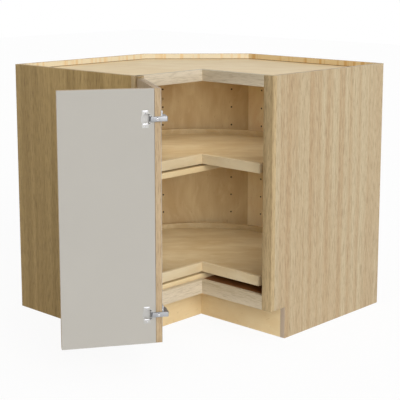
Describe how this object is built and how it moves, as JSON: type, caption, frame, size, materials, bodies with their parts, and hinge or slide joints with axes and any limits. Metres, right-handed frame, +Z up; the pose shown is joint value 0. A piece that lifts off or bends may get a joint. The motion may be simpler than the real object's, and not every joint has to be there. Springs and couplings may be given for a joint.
{
  "type": "corner carousel cabinet",
  "caption": "L-shaped corner base cabinet with pie-cut carousel trays that turn on ball bearings behind a bi-fold door of hinged leaves.",
  "frame": {"origin": "floor level at the back corner of the left end panel, on the left wall plane", "axes": "+Z up, +X along the left end panel away from the left wall, +Y along the left wall towards the room corner"},
  "size_m": [0.9144, 1.308, 0.8763],
  "materials": {
    "oak": "matte light oak veneer with straight grain",
    "birch": "satin birch plywood",
    "grey_backing": "matte grey backing sheet",
    "steel": "nickel-plated steel"
  },
  "bodies": {
    "carcass": {"left_end_panel": "oak", "right_end_panel": "oak", "left_back_panel": "birch", "right_back_panel": "birch", "diagonal_back_panel": "birch", "top_deck": "birch", "bottom_panel": "birch", "lower_support_board": "birch", "upper_support_board": "birch", "upper_board_cleats": "birch", "left_stile": "oak", "right_stile": "oak", "left_top_rail": "oak", "right_top_rail": "oak", "left_bottom_rail": "oak", "right_bottom_rail": "oak", "left_toe_kick": "birch", "right_toe_kick": "birch", "upper_bearing_base": "steel", "lower_bearing_base": "steel", "frame_pivot_plates": "steel"},
    "hinge_link": {"pivot_links": "steel"},
    "hinge_leaf": {"hinge_side_leaf": "oak", "hinge_side_backing": "grey_backing", "leaf_pivot_plates": "steel", "bifold_arms": "steel", "bifold_mount_plates": "steel", "bifold_screws": "steel"},
    "free_leaf": {"free_side_leaf": "oak", "free_side_backing": "grey_backing", "bifold_cups": "steel", "bifold_pins": "steel"},
    "upper_tray": {"upper_bearing_top": "steel", "upper_tray_base": "birch", "upper_tray_rim": "birch", "upper_tray_left_lip": "birch", "upper_tray_right_lip": "birch"},
    "lower_tray": {"lower_bearing_top": "steel", "lower_tray_base": "birch", "lower_tray_rim": "birch", "lower_tray_left_lip": "birch", "lower_tray_right_lip": "birch"},
    "upper_ball_ring": {"upper_ball_cage": "steel", "upper_balls": "steel"},
    "lower_ball_ring": {"lower_ball_cage": "steel", "lower_balls": "steel"}
  },
  "joints": [
    {"name": "door_swing", "type": "hinge", "parent": "carcass", "child": "hinge_link", "pos_m": [0.62113, 0.0095, 0.49], "axis": [0, 0, 1], "range_deg": [0, 123.5]},
    {"name": "door_fold_back", "type": "hinge", "parent": "hinge_link", "child": "hinge_leaf", "pos_m": [0.62087, 0.00367, 0.49], "axis": [0, 0, -1], "range_deg": [0, 46.5]},
    {"name": "leaf_fold", "type": "hinge", "parent": "hinge_leaf", "child": "free_leaf", "pos_m": [0.85215, -0.16923, 0.49], "axis": [0, 0, 1], "range_deg": [0, 60]},
    {"name": "upper_tray_spin", "type": "hinge", "parent": "carcass", "child": "upper_tray", "pos_m": [0.4572, 0.4572, 0.553], "axis": [0, 0, 1], "continuous": true},
    {"name": "upper_ball_roll", "type": "hinge", "parent": "carcass", "child": "upper_ball_ring", "pos_m": [0.4572, 0.4572, 0.553], "axis": [0, 0, 1], "continuous": true},
    {"name": "lower_tray_spin", "type": "hinge", "parent": "carcass", "child": "lower_tray", "pos_m": [0.4572, 0.4572, 0.1755], "axis": [0, 0, 1], "continuous": true},
    {"name": "lower_ball_roll", "type": "hinge", "parent": "carcass", "child": "lower_ball_ring", "pos_m": [0.4572, 0.4572, 0.1755], "axis": [0, 0, 1], "continuous": true}
  ],
  "couplings": [
    {"joint": "upper_ball_roll", "follows": "upper_tray_spin", "ratio": 0.5},
    {"joint": "lower_ball_roll", "follows": "lower_tray_spin", "ratio": 0.5}
  ]
}
